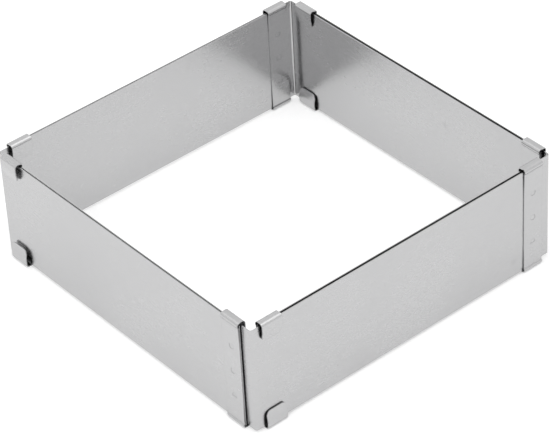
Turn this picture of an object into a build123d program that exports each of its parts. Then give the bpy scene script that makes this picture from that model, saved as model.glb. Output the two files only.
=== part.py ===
from build123d import *
import os

# Adjustable square cake frame: four bent corner sheets that slide along each other. Every
# free end carries a welded clip, whose rolled ends hook over the sheet that slides beside it.
# X runs along the front and back walls, Y along the side walls, Z is up.
# The model is shown pushed together, at its smallest size.

# Overall sizes
side = 160.0
wall_height = 50.0
sheet = 0.4

# Clearances
slide_room = 0.95
stand_off = 1.1
stop_gap = 0.5

# Play taken up where two corners lie almost against each other
front_take_up = 0.5
left_take_up = 0.6

# Corner sheets
bend_radius = 0.9
end_inset = 5.6

# Clips
clip_width = 10.0
roll_rise = 1.25
roll_bulge = 0.6
roll_radius = 1.1
crease_depth = 1.0
crease_lift = 0.4
crease_radius = 0.1
strap_lift = 0.25
strap_lift_length = 12.0
flange_drop = 7.4
flange_lean = 0.75
flange_bow_drop = 3.0
flange_bow_radius = 8.0
flange_corner_radius = 2.4

# Spot welds that hold a clip on its sheet
weld_radius = 1.3
weld_depth = 0.05
weld_height_shares = (-0.5, 0, 0.5)

# Turns, in degrees
quarter_turn = 90
half_turn = 180

# Sizes that follow
half = side / 2
free_end = half - end_inset
clip_start = free_end - clip_width
travel = 2 * clip_start - stop_gap - front_take_up
roll_crest = roll_rise - sheet / 2
flange_span = 3 * sheet + slide_room + stand_off

wall_bottom = roll_rise
wall_middle = wall_bottom + wall_height / 2

# Layers of a wall, from its outer face inwards to the middle of each sheet or strap
outer_layer = sheet / 2
inner_layer = outer_layer + sheet + slide_room
outer_strap_layer = -sheet / 2
inner_strap_layer = inner_layer + sheet


def corner_sheet():
    """Front wall's inner sheet and right wall's outer sheet, one piece bent at their corner."""
    path = FilletPolyline(
        (-free_end, -half + inner_layer),
        (half - outer_layer, -half + inner_layer),
        (half - outer_layer, free_end),
        radius=bend_radius + sheet / 2,
    )
    floor_plan = trace(path, line_width=sheet)
    return Pos(0, 0, wall_bottom) * extrude(floor_plan, amount=wall_height)


def clip_end_points():
    """Middle line of a clip's upper end: out from the strap, round the roll and down the flange."""
    edge = wall_height / 2
    return [
        (0, edge - strap_lift_length),
        (-strap_lift, edge - crease_depth),
        (-roll_bulge, edge - crease_lift),
        (-roll_bulge, edge + roll_crest),
        (flange_span, edge + roll_crest),
        (flange_span, edge - flange_bow_drop),
        (flange_span - flange_lean, edge - flange_drop),
    ]


def is_tip_corner(edge):
    """True for the short edges at the tips of the two flanges."""
    centre = edge.center()
    on_flange = centre.X > flange_span / 2
    near_tip = abs(centre.Z) < (wall_height - flange_drop) / 2
    return edge.length < 2 * sheet and on_flange and near_tip


def clip():
    """Strap with a rolled hook at each end, standing in the XZ plane and folded towards +X."""
    small = crease_radius + sheet / 2
    large = roll_radius + sheet / 2
    end_radii = [small, small, small, large, large, flange_bow_radius]
    upper = clip_end_points()
    lower = [(across, -up) for across, up in upper]
    middle_line = FilletPolyline(
        *reversed(upper),
        *lower,
        radius=[*reversed(end_radii), *end_radii],
    )
    section = Plane.XZ * trace(middle_line, line_width=sheet)
    strip = extrude(section, amount=clip_width / 2, both=True)
    tip_corners = strip.edges().filter_by(is_tip_corner)
    strip = fillet(tip_corners, radius=flange_corner_radius)
    welds = []
    for share in weld_height_shares:
        weld_place = Plane(origin=(-sheet / 2, 0, wall_height / 2 * share), z_dir=(1, 0, 0))
        welds.append(extrude(weld_place * Circle(weld_radius), amount=weld_depth))
    return strip - welds


def outer_clip():
    """Clip outside the right wall's outer sheet, folded inwards."""
    place = Pos(half - outer_strap_layer, free_end - clip_width / 2, wall_middle)
    return place * Rot(0, 0, half_turn) * clip()


def inner_clip():
    """Clip inside the front wall's inner sheet, folded outwards."""
    place = Pos(-free_end + clip_width / 2, -half + inner_strap_layer, wall_middle)
    return place * Rot(0, 0, -quarter_turn) * clip()


corner_pieces = {
    "corner_sheet": corner_sheet(),
    "outer_clip": outer_clip(),
    "inner_clip": inner_clip(),
}

# The four corners are the same, each a quarter turn from the last. Two of them lie to one side
# in their clips, so that the sheets of the front and left walls nearly touch.
corner_shifts = {
    "front_right": (0, -front_take_up),
    "back_right": (0, 0),
    "back_left": (left_take_up, 0),
    "front_left": (0, 0),
}

os.makedirs("parts", exist_ok=True)
for turn, (corner, shift) in enumerate(corner_shifts.items()):
    place = Pos(*shift) * Rot(0, 0, quarter_turn * turn)
    for piece, shape in corner_pieces.items():
        export_step(place * shape, f"parts/{corner}_{piece}.step")

print("travel of each slide:", travel)
print("largest length across the outer sheets:", side + travel)
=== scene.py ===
import bpy
import math
from mathutils import Matrix, Vector


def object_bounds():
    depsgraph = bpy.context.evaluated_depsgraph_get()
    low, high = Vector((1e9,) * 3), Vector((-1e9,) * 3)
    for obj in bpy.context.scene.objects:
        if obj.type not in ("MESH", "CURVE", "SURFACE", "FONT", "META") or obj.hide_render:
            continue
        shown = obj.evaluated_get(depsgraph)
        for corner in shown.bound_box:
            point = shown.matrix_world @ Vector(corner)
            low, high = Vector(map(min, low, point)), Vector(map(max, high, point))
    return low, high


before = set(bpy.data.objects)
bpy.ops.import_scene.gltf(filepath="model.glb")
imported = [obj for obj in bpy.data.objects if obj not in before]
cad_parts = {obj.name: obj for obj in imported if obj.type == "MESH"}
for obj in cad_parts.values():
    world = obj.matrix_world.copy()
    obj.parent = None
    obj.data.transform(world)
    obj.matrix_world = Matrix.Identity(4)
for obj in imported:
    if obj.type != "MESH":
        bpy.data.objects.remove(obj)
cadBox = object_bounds()
bpy.ops.object.select_all(action='DESELECT')
print("frame loaded, pieces:", len(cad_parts))


# Camera, set where the photograph was taken from
cameraView = {
    "azimuth": 51.439,      # degrees round from the front
    "height": 37.658,       # degrees above the horizon
    "roll": -3.336,         # degrees
    "distance": 1.2088,     # metres from the point looked at
    "lookAt": (0.0076, -0.0063, 0.02625),
    "focal": 194.21,        # millimetres
    "sensorWidth": 36,      # millimetres
    "clipStart": 0.01,      # metres
}


def setCamera():
    turn = math.radians(cameraView["azimuth"])
    lift = math.radians(cameraView["height"])
    roll = math.radians(cameraView["roll"])
    back = Vector((math.sin(turn) * math.cos(lift), -math.cos(turn) * math.cos(lift), math.sin(lift)))
    side = Vector((math.cos(turn), math.sin(turn), 0))
    up = back.cross(side)
    rolledSide = side * math.cos(roll) + up * math.sin(roll)
    rolledUp = up * math.cos(roll) - side * math.sin(roll)
    place = Vector(cameraView["lookAt"]) + back * cameraView["distance"]
    data = bpy.data.cameras.new("photoCamera")
    data.lens = cameraView["focal"]
    data.sensor_width = cameraView["sensorWidth"]
    data.clip_start = cameraView["clipStart"]
    camera = bpy.data.objects.new("photoCamera", data)
    camera.matrix_world = Matrix((
        (rolledSide.x, rolledUp.x, back.x, place.x),
        (rolledSide.y, rolledUp.y, back.y, place.y),
        (rolledSide.z, rolledUp.z, back.z, place.z),
        (0, 0, 0, 1),
    ))
    bpy.context.collection.objects.link(camera)
    bpy.context.scene.camera = camera


# White studio: a dome, a pale floor and a soft lamp. The dome and floor are seen, and
# mirrored, at full white, but light the frame more softly than that.
studio = {
    "floorSize": 6.0,
    "floorColour": (0.9, 0.9, 0.9, 1),
    "floorGlow": 0.38,      # added where the floor is seen or mirrored
    "domeColour": (1, 1, 1, 1),
    "domeSeen": 1,
    "domeLight": 0.5,
    "lampName": "overheadSoftbox",
    "lampPlace": (0.2, -0.25, 1.25),
    "lampAim": (0, 0, 0.02),
    "lampSize": 2.2,
    "lampPower": 11.8,
}


def seenRays(tree):
    path = tree.nodes.new("ShaderNodeLightPath")
    glossy = tree.nodes.new("ShaderNodeMath")
    glossy.operation = 'MAXIMUM'
    tree.links.new(path.outputs["Is Camera Ray"], glossy.inputs[0])
    tree.links.new(path.outputs["Is Glossy Ray"], glossy.inputs[1])
    seen = tree.nodes.new("ShaderNodeMath")
    seen.operation = 'MAXIMUM'
    tree.links.new(glossy.outputs[0], seen.inputs[0])
    tree.links.new(path.outputs["Is Transmission Ray"], seen.inputs[1])
    return seen.outputs[0]


def setDome():
    world = bpy.data.worlds.new("whiteDome")
    world.use_nodes = True
    tree = world.node_tree
    tree.nodes.clear()
    mix = tree.nodes.new("ShaderNodeMixShader")
    tree.links.new(seenRays(tree), mix.inputs["Fac"])
    for socket, strength in ((mix.inputs[1], studio["domeLight"]), (mix.inputs[2], studio["domeSeen"])):
        background = tree.nodes.new("ShaderNodeBackground")
        background.inputs["Color"].default_value = studio["domeColour"]
        background.inputs["Strength"].default_value = strength
        tree.links.new(background.outputs[0], socket)
    out = tree.nodes.new("ShaderNodeOutputWorld")
    tree.links.new(mix.outputs[0], out.inputs["Surface"])
    bpy.context.scene.world = world


def setFloor():
    bpy.ops.mesh.primitive_plane_add(size=studio["floorSize"], location=(0, 0, 0))
    floor = bpy.context.object
    floor.name = "floor"
    material = bpy.data.materials.new("paleFloor")
    material.use_nodes = True
    tree = material.node_tree
    tree.nodes.clear()
    dull = tree.nodes.new("ShaderNodeBsdfDiffuse")
    dull.inputs["Color"].default_value = studio["floorColour"]
    glow = tree.nodes.new("ShaderNodeEmission")
    strength = tree.nodes.new("ShaderNodeMath")
    strength.operation = 'MULTIPLY'
    strength.inputs[1].default_value = studio["floorGlow"]
    tree.links.new(seenRays(tree), strength.inputs[0])
    tree.links.new(strength.outputs[0], glow.inputs["Strength"])
    total = tree.nodes.new("ShaderNodeAddShader")
    tree.links.new(dull.outputs[0], total.inputs[0])
    tree.links.new(glow.outputs[0], total.inputs[1])
    out = tree.nodes.new("ShaderNodeOutputMaterial")
    tree.links.new(total.outputs[0], out.inputs["Surface"])
    floor.data.materials.append(material)


def setLamp():
    data = bpy.data.lights.new(studio["lampName"], 'AREA')
    data.shape = 'DISK'
    data.size = studio["lampSize"]
    data.energy = studio["lampPower"]
    lamp = bpy.data.objects.new(studio["lampName"], data)
    lamp.location = studio["lampPlace"]
    aim = Vector(studio["lampAim"]) - Vector(studio["lampPlace"])
    lamp.rotation_euler = aim.to_track_quat('-Z', 'Y').to_euler()
    bpy.context.collection.objects.link(lamp)


setCamera()
setDome()
setFloor()
setLamp()
print("studio set")


# Satin steel sheet, with the fine grain that rolling leaves along each wall. A range gives
# the two input values that its effect turns into 0 and 1. Noise scales are in waves per metre.
steel = {
    "colour": (0.502, 0.502, 0.506),
    "roughness": 0.24,

    "grainScale": (330, 330, 1300),
    "grainDetail": 2,
    "grainShare": 0.6,
    "fineGrainScale": (900, 900, 5200),
    "fineGrainDetail": 1,
    "fineGrainShare": 0.4,
    "grainRange": (0.3, 0.7),
    "grainContrast": 0.07,
    "grainRoughness": 0.05,              # both ways
    "grainDepth": 0.000004,              # metres

    "blotchScale": 22,
    "blotchDetail": 4,
    "blotchRange": (0.35, 0.65),
    "blotchContrast": 0.045,
    "blotchRoughness": 0.07,             # from end to end

    "speckScale": 46,
    "speckRange": (0.145, 0.055),        # shares of the space between two specks
    "speckShare": 0.62,                  # share of the places left without a speck
    "speckContrast": 0.10,
    "speckEdgeScale": 900,
    "speckEdgeDetail": 2,
    "speckEdgeSize": 0.06,

    # Painted highlight: cut edges that face upwards are lightened towards near white, made patchy by wear
    # noise.
    "edgeHighlightColour": (0.9, 0.9, 0.9, 1),
    "edgeWidth": 0.00018,                # metres
    "edgeSamples": 6,
    "edgeRange": (0.98, 0.75),           # cosine between the real and the rounded normal
    "edgeHighlightStrength": 0.85,
    "edgeWearScale": 420,
    "edgeWearDetail": 3,
    "edgeWearRange": (0.3, 0.6),
    "edgeLeastWear": 0.35,
    "facingUpRange": (0.3, 0.7),         # normal's height

    # Painted shade: a near-black colour, with added roughness, mixed in where shade falls.
    "paintedShadeColour": (0.10, 0.10, 0.105, 1),
    "paintedShadeRoughness": 0.3,
    "creaseReach": 0.0016,               # metres
    "creaseSamples": 8,
    "creaseRange": (0.97, 0.72),         # share of the sky that a point sees past its own piece
    "slotRange": (0.58, 0.3),            # and past all the pieces
    "facingDownRange": (-0.2, -0.5),     # normal's height
    # Painted shade in creases and under the upper rolls, used on the clips only.
    "sheetCreaseShade": 0,
    "clipCreaseShade": 0.9,
    "undersideShade": 0.8,
    # Painted shade in the slots between pieces.
    "slotShade": 0.95,
    # Painted shade on the cut edges that face sideways.
    "sideEdgeShade": 0.5,
}


def newGroup(name, *outputs):
    group = bpy.data.node_groups.new(name, "ShaderNodeTree")
    for output in outputs:
        group.interface.new_socket(name=output, in_out='OUTPUT', socket_type='NodeSocketFloat')
    return group, group.nodes.new("NodeGroupOutput").inputs


def addMath(tree, operation, *values, clamp=False):
    node = tree.nodes.new("ShaderNodeMath")
    node.operation = operation
    node.use_clamp = clamp
    for socket, value in zip(node.inputs, values):
        if isinstance(value, (int, float)):
            socket.default_value = value
        else:
            tree.links.new(value, socket)
    return node.outputs[0]


def addProduct(tree, first, *factors):
    for factor in factors:
        first = addMath(tree, 'MULTIPLY', first, factor)
    return first


def addRange(tree, value, fromRange, toRange=(0, 1)):
    node = tree.nodes.new("ShaderNodeMapRange")
    tree.links.new(value, node.inputs["Value"])
    names = ("From Min", "From Max", "To Min", "To Max")
    for name, limit in zip(names, (*fromRange, *toRange)):
        node.inputs[name].default_value = limit
    return node.outputs["Result"]


def objectPlace(tree):
    return tree.nodes.new("ShaderNodeTexCoord").outputs["Object"]


def addNoise(tree, scale, detail):
    place = objectPlace(tree)
    noise = tree.nodes.new("ShaderNodeTexNoise")
    if isinstance(scale, tuple):
        mapping = tree.nodes.new("ShaderNodeMapping")
        mapping.inputs["Scale"].default_value = scale
        tree.links.new(place, mapping.inputs["Vector"])
        place = mapping.outputs["Vector"]
        scale = 1
    noise.inputs["Scale"].default_value = scale
    noise.inputs["Detail"].default_value = detail
    tree.links.new(place, noise.inputs["Vector"])
    return noise.outputs["Fac"]


def addHeight(tree, vector):
    parts = tree.nodes.new("ShaderNodeSeparateXYZ")
    tree.links.new(vector, parts.inputs[0])
    return parts.outputs["Z"]


def makeGrain():
    group, out = newGroup("sheetGrain", "Value")
    coarse = addNoise(group, steel["grainScale"], steel["grainDetail"])
    fine = addNoise(group, steel["fineGrainScale"], steel["fineGrainDetail"])
    coarse = addProduct(group, coarse, steel["grainShare"])
    fine = addProduct(group, fine, steel["fineGrainShare"])
    both = addMath(group, 'ADD', coarse, fine)
    group.links.new(addRange(group, both, steel["grainRange"]), out["Value"])
    return group


def makeBlotches():
    group, out = newGroup("handlingBlotches", "Value")
    broad = addNoise(group, steel["blotchScale"], steel["blotchDetail"])
    group.links.new(addRange(group, broad, steel["blotchRange"]), out["Value"])
    return group


def makeSpecks():
    group, out = newGroup("smallSmudges", "Mask")
    cells = group.nodes.new("ShaderNodeTexVoronoi")
    cells.inputs["Scale"].default_value = steel["speckScale"]
    group.links.new(objectPlace(group), cells.inputs["Vector"])
    ragged = addNoise(group, steel["speckEdgeScale"], steel["speckEdgeDetail"])
    ragged = addProduct(group, ragged, steel["speckEdgeSize"])
    distance = addMath(group, 'ADD', cells.outputs["Distance"], ragged)
    spot = addRange(group, distance, steel["speckRange"])
    chosen = addMath(group, 'GREATER_THAN', cells.outputs["Color"], steel["speckShare"])
    group.links.new(addProduct(group, spot, chosen), out["Mask"])
    return group


# Cut-edge masks: the upward-facing edges get a painted highlight, the sideways-facing edges get painted
# shade.
def makeEdges():
    group, out = newGroup("cutEdges", "UpperHighlight", "Side")
    bevel = group.nodes.new("ShaderNodeBevel")
    bevel.samples = steel["edgeSamples"]
    bevel.inputs["Radius"].default_value = steel["edgeWidth"]
    normal = group.nodes.new("ShaderNodeNewGeometry").outputs["Normal"]
    cosine = group.nodes.new("ShaderNodeVectorMath")
    cosine.operation = 'DOT_PRODUCT'
    group.links.new(bevel.outputs["Normal"], cosine.inputs[0])
    group.links.new(normal, cosine.inputs[1])
    edge = addRange(group, cosine.outputs["Value"], steel["edgeRange"])
    wear = addNoise(group, steel["edgeWearScale"], steel["edgeWearDetail"])
    wear = addRange(group, wear, steel["edgeWearRange"], (steel["edgeLeastWear"], 1))
    upper = addRange(group, addHeight(group, normal), steel["facingUpRange"])
    group.links.new(addProduct(group, edge, wear, upper), out["UpperHighlight"])
    group.links.new(addProduct(group, edge, addMath(group, 'SUBTRACT', 1, upper)), out["Side"])
    return group


def addOcclusion(group, onlyOwn):
    node = group.nodes.new("ShaderNodeAmbientOcclusion")
    node.only_local = onlyOwn
    node.samples = steel["creaseSamples"]
    node.inputs["Distance"].default_value = steel["creaseReach"]
    return node.outputs["AO"]


# Painted shade masks from ambient occlusion. Crease covers the creases within a piece and the undersides of
# the upper rolls; Slot covers the narrow gaps between pieces.
def makeCreases():
    group, out = newGroup("creaseShade", "Crease", "Slot")
    normal = group.nodes.new("ShaderNodeNewGeometry").outputs["Normal"]
    middle = (cadBox[0][2] + cadBox[1][2]) / 2
    upperHalf = addMath(group, 'GREATER_THAN', addHeight(group, objectPlace(group)), middle)
    under = addRange(group, addHeight(group, normal), steel["facingDownRange"], (0, steel["undersideShade"]))
    crease = addRange(group, addOcclusion(group, onlyOwn=True), steel["creaseRange"])
    crease = addMath(group, 'MAXIMUM', crease, addProduct(group, under, upperHalf))
    group.links.new(crease, out["Crease"])
    slot = addRange(group, addOcclusion(group, onlyOwn=False), steel["slotRange"])
    group.links.new(slot, out["Slot"])
    return group


effects = {
    "grain": makeGrain(),
    "blotches": makeBlotches(),
    "specks": makeSpecks(),
    "edges": makeEdges(),
    "creases": makeCreases(),
}


def addMix(tree, share, first, second):
    mix = tree.nodes.new("ShaderNodeMix")
    mix.data_type = 'RGBA'
    tree.links.new(share, mix.inputs["Factor"])
    tree.links.new(first, mix.inputs[6])
    mix.inputs[7].default_value = second
    return mix.outputs[2]


def addEffects(tree):
    outputs = {}
    for effect, group in effects.items():
        node = tree.nodes.new("ShaderNodeGroup")
        node.node_tree = group
        outputs[effect] = node.outputs
    return outputs


def around(middle, contrast):
    return middle - contrast / 2, middle + contrast / 2


def makeSteel(name, creaseShade):
    material = bpy.data.materials.new(name)
    material.use_nodes = True
    tree = material.node_tree
    shader = tree.nodes["Principled BSDF"]
    shader.inputs["Metallic"].default_value = 1
    shown = addEffects(tree)
    grain = shown["grain"]["Value"]
    blotches = shown["blotches"]["Value"]

    # Painted shade: creases, slots and sideways cut edges are darkened towards near black.
    crease = addProduct(tree, shown["creases"]["Crease"], creaseShade)
    slot = addProduct(tree, shown["creases"]["Slot"], steel["slotShade"])
    side = addProduct(tree, shown["edges"]["Side"], steel["sideEdgeShade"])
    paintedShade = addMath(tree, 'MAXIMUM', addMath(tree, 'MAXIMUM', crease, slot), side)

    grainTone = addRange(tree, grain, (0, 1), around(1, steel["grainContrast"]))
    blotchTone = addRange(tree, blotches, (0, 1), around(1, steel["blotchContrast"]))
    speckTone = addRange(tree, shown["specks"]["Mask"], (0, 1), (1, 1 - steel["speckContrast"]))
    plain = tree.nodes.new("ShaderNodeVectorMath")
    plain.operation = 'SCALE'
    plain.inputs[0].default_value = steel["colour"]
    tree.links.new(addProduct(tree, grainTone, blotchTone, speckTone), plain.inputs["Scale"])
    # Painted highlight on the cut edges that face upwards.
    edge = addProduct(tree, shown["edges"]["UpperHighlight"], steel["edgeHighlightStrength"])
    edgeHighlighted = addMix(tree, edge, plain.outputs["Vector"], steel["edgeHighlightColour"])
    shadedColour = addMix(tree, paintedShade, edgeHighlighted, steel["paintedShadeColour"])
    tree.links.new(shadedColour, shader.inputs["Base Color"])

    grainRough = addRange(tree, grain, (0, 1), (-steel["grainRoughness"], steel["grainRoughness"]))
    blotchRough = addRange(tree, blotches, (0, 1), around(steel["roughness"], steel["blotchRoughness"]))
    shadeRough = addProduct(tree, paintedShade, steel["paintedShadeRoughness"])
    rough = addMath(tree, 'ADD', grainRough, blotchRough)
    rough = addMath(tree, 'ADD', rough, shadeRough, clamp=True)
    tree.links.new(rough, shader.inputs["Roughness"])

    bump = tree.nodes.new("ShaderNodeBump")
    bump.inputs["Strength"].default_value = 1
    bump.inputs["Distance"].default_value = steel["grainDepth"]
    tree.links.new(grain, bump.inputs["Height"])
    tree.links.new(bump.outputs["Normal"], shader.inputs["Normal"])
    return material


sheetSteel = makeSteel("sheetSteel", steel["sheetCreaseShade"])
clipSteel = makeSteel("clipSteel", steel["clipCreaseShade"])
for name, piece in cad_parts.items():
    for slot in piece.material_slots:
        slot.material = clipSteel if name.endswith("clip") else sheetSteel
print("steel finished")

bpy.context.scene.view_settings.view_transform = 'Standard'
